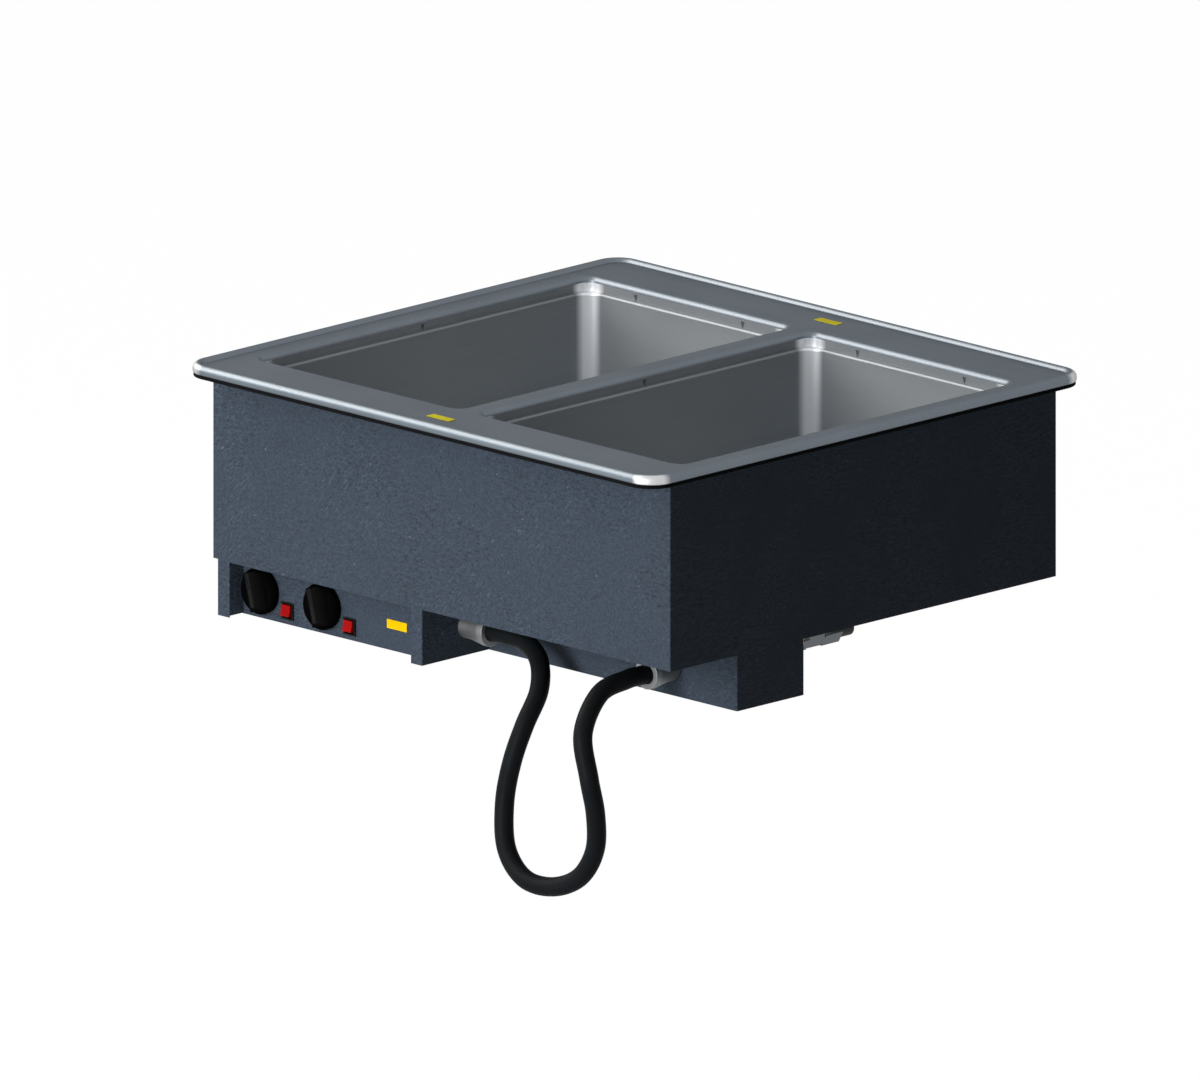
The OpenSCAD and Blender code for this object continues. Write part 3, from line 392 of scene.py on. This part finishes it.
def worked(node, width, folds=None, parts=2, angle=35):
    """Makes a finished copy of a node: merged, its folds rounded and its edges broken."""
    deselect()
    piece = bpy.data.objects.new("finished_" + node, nodes[node].data.copy())
    bpy.context.scene.collection.objects.link(piece)
    piece.select_set(True)
    bpy.context.view_layer.objects.active = piece
    bpy.ops.object.mode_set(mode="EDIT")
    bpy.ops.mesh.select_all(action="SELECT")
    bpy.ops.mesh.remove_doubles(threshold=1e-6)
    bpy.ops.mesh.dissolve_limited(angle_limit=math.radians(0.5))
    found = 0
    if folds:
        found = pick(folds, "edges")
        bpy.ops.mesh.bevel(offset=FOLD_R, segments=4, affect="EDGES")
    bpy.ops.object.mode_set(mode="OBJECT")
    broken = piece.modifiers.new("Edges", "BEVEL")
    broken.width, broken.segments = width, parts
    broken.limit_method, broken.angle_limit = "ANGLE", math.radians(angle)
    bpy.ops.object.modifier_apply(modifier="Edges")
    smooth(piece, angle)
    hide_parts(node)
    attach(piece, body_of[node])
    made.append((piece, looks[node]))
    print(piece.name, len(piece.data.polygons), "faces,", found, "folds")


def upright_corner(node):
    """Picks the upright outer edges at the four corners of a node's box."""
    low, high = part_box(node)

    def keep(edge):
        a, b = (v.co for v in edge.verts)
        middle = (a + b) / 2
        at_corner = all(min(abs(middle[k] - low[k]), abs(middle[k] - high[k])) < 1e-4
                        for k in (0, 1))
        return at_corner and abs(a.z - b.z) > 0.01 and (a - b).xy.length < 1e-5
    return keep


# %% [markdown]
# The casing, the wiring box and the control box are bent from one-millimetre sheet. The bends
# at their outer corners are tight, about the sheet's own thickness, so the corner looks crisp
# but still draws a thin soft line of light.

# %% Sheet boxes
SHEET_EDGE = 0.0003
for node in ("outer_casing", "duct_shell", "control_housing"):
    worked(node, SHEET_EDGE, folds=upright_corner(node))
for node in ("casing_floor", "duct_cover", "control_panel", "control_cover"):
    worked(node, SHEET_EDGE)

# %% [markdown]
# The knobs are moulded with a round skirt and a pointer wing whose ridge is softened. The
# rockers sit in moulded frames. The three small plates are stamped from thin sheet and left
# bare. The two on the deck lie flat and look paler in the light, so they get a paler copy of the
# plates' colour, which is painted light. The sealing strip is soft foam with rounded edges.

# %% Knobs, rockers, plates and strip
KNOB_EDGE, FRAME_EDGE, ROCKER_EDGE = 0.0007, 0.0004, 0.0005
PLATE_EDGE, STRIP_EDGE = 0.00015, 0.0008
for side in ("left", "right"):
    worked("knob_" + side, KNOB_EDGE, parts=3, angle=25)
    worked("switch_frame_" + side, FRAME_EDGE)
    worked("switch_paddle_" + side, ROCKER_EDGE, parts=3)
for node in ("panel_label", "front_label", "rear_label"):
    worked(node, PLATE_EDGE)
worked("deck_gasket", STRIP_EDGE, parts=3)

# %% [markdown]
# The conduit connectors are zinc castings with a turned nut. The drain fittings are turned and
# hexagonal stainless pieces. They have chamfers of about half a millimetre, and the thin
# strainers and the small screws have finer ones.

# %% Fittings and drain
CHAMFER, FINE_CHAMFER = 0.0005, 0.0003
for node in ("fitting_left", "fitting_right", "fitting_nut_left", "fitting_nut_right",
             "valve_body", "valve_stem", "packing_nut", "valve_lever", "lever_nut", "outlet_nut",
             "outlet_spout", "drain_left", "drain_right", "drain_nuts", "drain_manifold",
             "supply_bushing"):
    worked(node, CHAMFER)
for node in ("strainer_left", "strainer_right", "cover_screws"):
    worked(node, FINE_CHAMFER)

# %% [markdown]
# Every finish is made of nodes. Shader sums are easier to read as sums, so one small class
# wraps a socket and gives it the arithmetic operators, and a Finish adds any other node. The
# reflected operators let a plain number come first, as in 1 - mask. Each Finish is kept under
# its name, which is the name of the slot or look that it is for.

# %% Tools for finishes
CLOUDS = 9.0
finishes = {}


class Value:
    """A socket of a finish that can be used in sums."""

    def __init__(self, finish, socket):
        self.finish, self.socket = finish, socket

    def __add__(self, other):
        return self.finish.math("ADD", self, other)

    def __sub__(self, other):
        return self.finish.math("SUBTRACT", self, other)

    def __rsub__(self, other):
        return self.finish.math("SUBTRACT", other, self)

    def __mul__(self, other):
        return self.finish.math("MULTIPLY", self, other)

    __radd__, __rmul__ = __add__, __mul__


class Finish:
    """A material whose nodes are added one by one, around a Principled shader."""

    def __init__(self, name, **sockets):
        self.material = bpy.data.materials.new(name)
        self.material.use_nodes = True
        self.tree = self.material.node_tree
        self.shader = self.tree.nodes["Principled BSDF"]
        self.place = self.node("ShaderNodeTexCoord", {}, out="Object")
        self.feed(**sockets)
        finishes[name] = self

    def node(self, kind, settings, *inputs, out=0, **named):
        """Adds a node: its settings first, then the values or links of its sockets."""
        added = self.tree.nodes.new(kind)
        for key, setting in settings.items():
            if key == "stops":
                ramp = added.color_ramp
                while len(ramp.elements) < len(setting):
                    ramp.elements.new(0.5)
                for stop, (at, colour) in zip(ramp.elements, setting):
                    stop.position, stop.color = at, (*colour, 1)
            else:
                setattr(added, key, setting)
        for key, value in [*enumerate(inputs), *named.items()]:
            self.join(added.inputs[key.replace("_", " ") if isinstance(key, str) else key], value)
        return Value(self, added.outputs[out])

    def math(self, operation, *inputs):
        """A Math node."""
        return self.node("ShaderNodeMath", {"operation": operation}, *inputs)

    def join(self, socket, value):
        """Links a Value to a socket, or sets the socket to a plain value."""
        if isinstance(value, Value):
            self.tree.links.new(value.socket, socket)
        else:
            socket.default_value = value

    def feed(self, **sockets):
        """Sets sockets of the Principled shader, with _ for a space in their names."""
        for key, value in sockets.items():
            self.join(self.shader.inputs[key.replace("_", " ")], value)

    def axes(self):
        """The three coordinates of the object's own place, in metres."""
        parts = self.node("ShaderNodeSeparateXYZ", {}, self.place)
        return [Value(self, output) for output in parts.socket.node.outputs]

    def stretched(self, scale, turn=(0, 0, 0)):
        """The object's own place, turned and then scaled, in metres times the scale."""
        turned = self.node("ShaderNodeMapping", {}, Vector=self.place, Rotation=turn)
        return self.node("ShaderNodeMapping", {}, Vector=turned, Scale=scale)

    def noise(self, place, scale, detail=3.0, rough=0.5):
        """Cloudy noise from about 0 to 1."""
        return self.node("ShaderNodeTexNoise", {}, Vector=place, Scale=scale, Detail=detail,
                         Roughness=rough)

    def ramp(self, value, *stops):
        """Colours or greys along a value."""
        return self.node("ShaderNodeValToRGB", {"stops": stops}, value)

    def mixed(self, share, a, b):
        """Colour a where share is 0, and b where it is 1."""
        added = self.tree.nodes.new("ShaderNodeMix")
        added.data_type = "RGBA"
        self.join(added.inputs[0], share)
        for socket, colour in ((6, a), (7, b)):
            self.join(added.inputs[socket], colour if isinstance(colour, Value) else (*colour, 1))
        return Value(self, added.outputs[2])

    def bumped(self, height, strength, distance):
        """Turns a height into a bump that feeds the Normal socket."""
        self.feed(Normal=self.node("ShaderNodeBump", {}, Height=height, Strength=strength,
                                   Distance=distance))


def grey(v):
    """A neutral linear colour."""
    return (v, v, v)


def times(colour, factor):
    """A colour that is darker or lighter by a factor."""
    return tuple(c * factor for c in colour)


# %% [markdown]
# Stainless sheet shows fine lines where it was brushed. They are noise that is stretched long
# in one direction, and they change the roughness and the colour only a little. The deck's
# colour and edge tint are dark, a painted reflection of the dark that the real deck shows at a
# low angle. The wells are less of a mirror: their sheet was pressed deep and rinsed often, so a
# part of the light is scattered. Their colour has painted shade and light by depth, a painted
# highlight in the upright corners and painted shade in the pressed guide marks. A painted
# highlight also brightens the corners of the deck's lip.


# %% Masks for the stainless pieces
def in_mark(finish):
    """1 on the floors of the pressed guide marks, where shade is painted; they lie half way into
    the collars.
    """
    x, y, z = finish.axes()
    across = finish.math("ABSOLUTE", finish.math("ABSOLUTE", x) - WELL_X)
    half = MARK_DEEP / 2
    on_side = finish.math("COMPARE", across, WELL_W / 2 + MARK_DEEP, half)
    on_end = finish.math("COMPARE", finish.math("ABSOLUTE", y), WELL_D / 2 + MARK_DEEP, half)
    return (finish.math("MAXIMUM", on_side, on_end)
            * finish.math("COMPARE", z, MARK_TOP - MARK_H / 2, MARK_H / 2))


def painted_depth_shade(finish):
    """Painted shade and light by depth in tenths of a metre: darker collar and ledge, brighter
    tub below.
    """
    depth = finish.axes()[2] * -10
    return finish.ramp(depth, (0.072, grey(0.62)), (0.09, grey(0.66)), (0.25, grey(0.72)),
                       (0.85, grey(0.88)))


def on_lip_corner(finish):
    """1 on the deck's lip where it goes round a corner, where a highlight is painted, fading to 0
    on the straights.
    """
    x, y = finish.axes()[:2]
    u = finish.math("ABSOLUTE", x) - (DECK_W / 2 - DECK_R)
    v = finish.math("ABSOLUTE", y) - (DECK_D / 2 - DECK_R)
    along = finish.math("MINIMUM", u, v) * (1 / DECK_R)
    outwards = finish.math("SQRT", u * u + v * v) * (1 / DECK_R)
    return (finish.ramp(along, (0.0, grey(0)), (0.3, grey(1)))
            * finish.ramp(outwards, (0.8, grey(0)), (0.9, grey(1))))


def in_corner(finish):
    """1 in the tubs' upright corners, where a highlight is painted, fading to 0 on the flat
    walls.
    """
    x, y = finish.axes()[:2]
    across = finish.math("ABSOLUTE", finish.math("ABSOLUTE", x) - WELL_X)
    past_x = across - (WELL_W / 2 - LEDGE_W - TUB_R)
    past_y = finish.math("ABSOLUTE", y) - (WELL_D / 2 - LEDGE_W - TUB_R)
    return finish.ramp(finish.math("MINIMUM", past_x, past_y) * (1 / TUB_R),
                       (0.05, grey(0)), (0.5, grey(1)))


# %% Metal finishes
LINES_ALONG, LINES_ACROSS = 12, 900
# Colours of painted highlights: in the tubs' upright corners, and on the corners of the deck's
# lip.
PAINTED_CORNER_HIGHLIGHT, PAINTED_LIP_HIGHLIGHT = (0.85, 0.87, 0.9), (0.55, 0.56, 0.57)


def brushed(name, colour, edge, rough, along, spread=0.05, metal=1.0, pan_painted_light=False, lip=False):
    """Brushed metal whose lines run along the named axes, with painted shade and highlights for a
    pan, or painted highlights on the corners of the deck's lip.
    """
    finish = Finish(name, Metallic=metal, Specular_Tint=(*grey(edge), 1))
    scale = tuple(LINES_ALONG if axis in along else LINES_ACROSS for axis in "xyz")
    lines = finish.noise(finish.stretched(scale), 1.0, 2.0, 0.6)
    clouds = finish.noise(finish.place, CLOUDS, 3.0)
    tone = lines * 0.6 + clouds * 0.4
    low, high = (0.94, 1.05) if pan_painted_light else (0.88, 1.1)
    base = finish.ramp(tone, (0.3, times(colour, low)), (0.7, times(colour, high)))
    matt = tone * spread + (rough - spread / 2)
    if pan_painted_light:
        # Painted shade on the collar and ledge, and painted light down the tub.
        base = finish.mixed(painted_depth_shade(finish), grey(0), base)
        # Painted highlight in the tubs' upright corners, where the surface is also a little
        # smoother.
        corner = in_corner(finish)
        base = finish.mixed(corner, base, PAINTED_CORNER_HIGHLIGHT)
        # Painted shade in the pressed guide marks.
        base = finish.mixed(in_mark(finish) * 0.85, base, times(colour, 0.2))
        matt = matt - corner * 0.08
    if lip:
        # Painted highlight on the corners of the deck's lip.
        base = finish.mixed(on_lip_corner(finish), base, PAINTED_LIP_HIGHLIGHT)
    finish.feed(Base_Color=base, Roughness=matt)
    finish.bumped(lines, strength=0.04, distance=0.0001)


# The deck's dark colour and edge tint are a painted reflection of dark surroundings.
brushed("deck_steel", (0.15, 0.172, 0.195), 0.42, 0.44, "x", lip=True)
brushed("well_steel", (0.385, 0.413, 0.44), 0.5, 0.46, "xy", metal=0.49, pan_painted_light=True)
brushed("fitting_steel", (0.15, 0.16, 0.17), 0.6, 0.42, "y")
brushed("plated_steel", (0.5, 0.5, 0.5), 0.8, 0.4, "x")
brushed("dark_steel", (0.16, 0.14, 0.13), 0.6, 0.5, "y")
brushed("zinc_casting", (0.25, 0.26, 0.265), 0.6, 0.55, "y", spread=0.1)
brushed("bright_metal", (0.8, 0.8, 0.8), 1.0, 0.15, "x")
brushed("brass", (0.72, 0.5, 0.2), 0.9, 0.35, "x")
brushed("copper", (0.72, 0.36, 0.22), 0.9, 0.35, "x")
print(len(finishes), "metal finishes")

# %% [markdown]
# The casing wears a slate-blue coat with a leathery grain of one or two millimetres over longer
# wrinkles, a few thin pale scratches and some specks. Grain and wrinkles are noises of two
# sizes. Slanting creases and scratches are noise that is turned first and then stretched along
# one direction, the creases only in patches. The specks are the middles of a few cells of a cell
# pattern. All of them change the colour a little. Grain, wrinkles and creases also lift or
# sink the surface.

# %% Painted finish
GRAIN, STREAKS, CELLS = 430.0, 8.0, 55.0
WRINKLE_SCALE = (120, 120, 340)
CREASE_SCALE, CREASE_TURN = (460, 460, 17), (-0.3, -0.7, 0)
SCRATCH_SCALE, SCRATCH_TURN = (420, 420, 30), (-0.4, -0.6, 0.2)
BARE_GREY = (0.3, 0.32, 0.34)


def slanting(finish, scale, turned, low, high):
    """1 along thin lines, where a turned and stretched noise is above high; 0 below low."""
    lines = finish.noise(finish.stretched(scale, turned), 1.0, 2.0)
    return finish.ramp(lines, (low, grey(0)), (high, grey(1)))


def speckled(finish):
    """1 at the middles of a few cells of a cell pattern."""
    cells = {"Vector": finish.place, "Scale": CELLS}
    near = finish.node("ShaderNodeTexVoronoi", {"feature": "F1"}, **cells)
    lot = finish.node("ShaderNodeTexVoronoi", {"feature": "F1"}, out=1, **cells)
    return (finish.ramp(near, (0.03, grey(1)), (0.05, grey(0)))
            * finish.ramp(lot, (0.8, grey(0)), (0.82, grey(1))))


def painted(name, colour):
    """Leathery powder coat with wrinkles, creases, scratches and specks."""
    finish = Finish(name, Specular_IOR_Level=0.03)
    clouds = finish.noise(finish.place, CLOUDS, 4.0, 0.6)
    grain = finish.noise(finish.place, GRAIN, 3.0, 0.65)
    folds = finish.noise(finish.stretched(WRINKLE_SCALE), 1.0, 4.0, 0.7)
    folded = finish.ramp(finish.noise(finish.place, CLOUDS, 2.0),
                         (0.42, grey(0.15)), (0.6, grey(1)))
    wrinkles = (folds - 0.5) * folded * 1.5 + 0.5
    creased = finish.ramp(finish.noise(finish.place, STREAKS, 1.0),
                          (0.52, grey(0)), (0.6, grey(1)))
    creases = slanting(finish, CREASE_SCALE, CREASE_TURN, 0.56, 0.66) * creased
    scratches = slanting(finish, SCRATCH_SCALE, SCRATCH_TURN, 0.74, 0.77)
    tone = grain * 0.45 + wrinkles * 0.45 + clouds * 0.1
    base = finish.ramp(tone, (0.34, times(colour, 0.5)), (0.66, times(colour, 1.54)))
    base = finish.mixed(creases * 0.45, base, times(colour, 2.2))
    base = finish.mixed(scratches * 0.3 + speckled(finish) * 0.35, base, BARE_GREY)
    finish.feed(Base_Color=base, Roughness=tone * 0.2 + 0.42)
    finish.bumped(grain * 0.35 + wrinkles * 0.9 + creases * 0.3, strength=1.0, distance=0.0018)


painted("casing_paint", (0.031, 0.041, 0.056))
print("casing_paint has", len(finishes["casing_paint"].tree.nodes), "nodes")

# %% [markdown]
# Plastic and rubber have a fine grain and nearly one colour. The knobs are black, with a painted
# highlight on their wings: pale on the ridge, and less and less so down to the skirt. The
# highlight is told by the depth behind the knob's front end, which stays the same when it turns.


# %% Plastics and rubber
def painted_ridge_highlight(finish):
    """Painted highlight: 1 on the knobs' ridges, fading down the wing to 0 at the skirt. Depth is
    in centimetres.
    """
    front_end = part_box("knob_left")[0][1]
    depth = (finish.axes()[1] - front_end) * 100
    return finish.ramp(depth, (0.0, grey(1)), (0.11, grey(0.35)), (0.95, grey(0)))


def moulded(name, colour, rough, level=0.4, grain=300.0, depth=0.15, painted_highlight=None):
    """Moulded plastic or rubber with a fine grain, paler where a highlight is painted."""
    finish = Finish(name, Specular_IOR_Level=level)
    spots = finish.noise(finish.place, grain, 3.0)
    clouds = finish.noise(finish.place, 25.0, 3.0)
    base = finish.ramp(clouds, (0.3, times(colour, 0.85)), (0.7, times(colour, 1.15)))
    if painted_highlight:
        # Painted highlight where one is given, such as along the knobs' ridges.
        base = finish.mixed(painted_highlight(finish), base, times(colour, 8))
    finish.feed(Base_Color=base, Roughness=spots * 0.12 + (rough - 0.06))
    finish.bumped(spots, strength=depth, distance=0.0002)


moulded("gasket_foam", (0.004, 0.004, 0.005), 0.75, 0.02)
moulded("conduit_jacket", (0.005, 0.006, 0.007), 0.5, 0.03, 220.0, 0.2)
moulded("spout_rubber", (0.02, 0.02, 0.021), 0.6, 0.3)
moulded("knob_plastic", (0.0013, 0.0013, 0.0014), 0.5, 0.0, painted_highlight=painted_ridge_highlight)
moulded("switch_black", (0.004, 0.004, 0.004), 0.35, 0.08)
moulded("switch_red", (0.21, 0.003, 0.003), 0.35, 0.03, 200.0, 0.05)
moulded("label_yellow", (0.58, 0.36, 0.001), 0.45, 0.02, 150.0, 0.05)
# A paler copy of the plates' colour, painted light for the two that lie flat on the deck.
moulded("deck_label", (0.58, 0.52, 0.004), 0.45, 0.02, 150.0, 0.05)
moulded("device_plastic", (0.03, 0.03, 0.032), 0.5)
moulded("block_plastic", (0.7, 0.66, 0.5), 0.5)
moulded("seat_plastic", (0.85, 0.85, 0.82), 0.4)
moulded("lead_jacket", (0.03, 0.03, 0.2), 0.45)
moulded("wool", (0.6, 0.5, 0.2), 0.9, 0.1, 90.0, 1.0)
print(len(finishes), "finishes")

# %% [markdown]
# Every piece made here gets the finish of its look. The CAD nodes get theirs too, because those
# that no piece replaces are seen as they are.

# %% Put the finishes on
for piece, name in made + [(nodes[node], slots[node]) for node in nodes]:
    piece.data.materials.clear()
    piece.data.materials.append(finishes[name].material)
print(len(made), "pieces and", len(nodes), "CAD nodes have their finish")

# %% [markdown]
# The studio is plain. The part hangs at counter height, so the floor lies 0.9 m under it. The
# world is white to the camera and to glossy rays, and only dim to the rest, so the sides that
# face away from the lamps stay dark, as they do in the photograph. Two lamps light the front,
# one from a little above and one from a little below. A weaker one comes from the front left,
# and a large warm one from the left draws the bright line along the rolled lip.

# %% Floor, world and lamps
GROUND_Z, GLOW, GLOW_SHARE, WORLD_DIM = -0.9, 1.02, 0.97, 0.055
bpy.ops.mesh.primitive_plane_add(size=40, location=(0, 0, GROUND_Z))
floor = bpy.context.object
floor.name = "floor"

floor_finish = Finish("pale_floor", Roughness=0.9, Specular_IOR_Level=0.1,
                      Base_Color=(0.6, 0.6, 0.6, 1))


def seen_directly(tree):
    """1 for camera, glossy and transmission rays, 0 for the rest."""
    path = tree.nodes.new("ShaderNodeLightPath")
    total = path.outputs["Is Camera Ray"]
    for output in ("Is Glossy Ray", "Is Transmission Ray"):
        most = tree.nodes.new("ShaderNodeMath")
        most.operation = "MAXIMUM"
        tree.links.new(total, most.inputs[0])
        tree.links.new(path.outputs[output], most.inputs[1])
        total = most.outputs[0]
    return total


tree = floor_finish.tree
glow = tree.nodes.new("ShaderNodeEmission")
glow.inputs["Color"].default_value = (1, 1, 1, 1)
glow.inputs["Strength"].default_value = GLOW
share = tree.nodes.new("ShaderNodeMath")
share.operation = "MULTIPLY"
share.inputs[1].default_value = GLOW_SHARE
tree.links.new(seen_directly(tree), share.inputs[0])
blend = tree.nodes.new("ShaderNodeMixShader")
tree.links.new(share.outputs[0], blend.inputs[0])
tree.links.new(floor_finish.shader.outputs[0], blend.inputs[1])
tree.links.new(glow.outputs[0], blend.inputs[2])
tree.links.new(blend.outputs[0], tree.nodes["Material Output"].inputs["Surface"])
floor.data.materials.append(floor_finish.material)

world = bpy.data.worlds.new("studio")
bpy.context.scene.world = world
world.use_nodes = True
sky = world.node_tree.nodes["Background"]
strength = world.node_tree.nodes.new("ShaderNodeMapRange")
strength.inputs["To Min"].default_value = WORLD_DIM
world.node_tree.links.new(seen_directly(world.node_tree), strength.inputs["Value"])
world.node_tree.links.new(strength.outputs[0], sky.inputs["Strength"])
sky.inputs["Color"].default_value = (1, 1, 1, 1)


def lamp(name, azimuth, elevation, distance, size, power):
    """Square area lamp that shines at the part's middle."""
    a, e = math.radians(azimuth), math.radians(elevation)
    way = Vector((math.sin(a) * math.cos(e), -math.cos(a) * math.cos(e), math.sin(e)))
    target = Vector((0, 0, -0.1))
    bpy.ops.object.light_add(type="AREA", location=target + way * distance)
    light = bpy.context.object
    light.name = name
    light.data.size = size
    light.data.energy = power
    light.rotation_euler = way.to_track_quat("Z", "Y").to_euler()
    return light


lamp("key", 0, 14, distance=3.2, size=1.0, power=66)
lamp("low", 8, -4, distance=3.2, size=0.7, power=52)
lamp("front", -44, 24, distance=3.2, size=1.4, power=26)
lip_lamp = lamp("lip", -66, 38, distance=3.0, size=2.2, power=84)
lip_lamp.data.color = (1.0, 0.93, 0.84)
bpy.context.scene.view_settings.view_transform = "Standard"
print("studio ready")
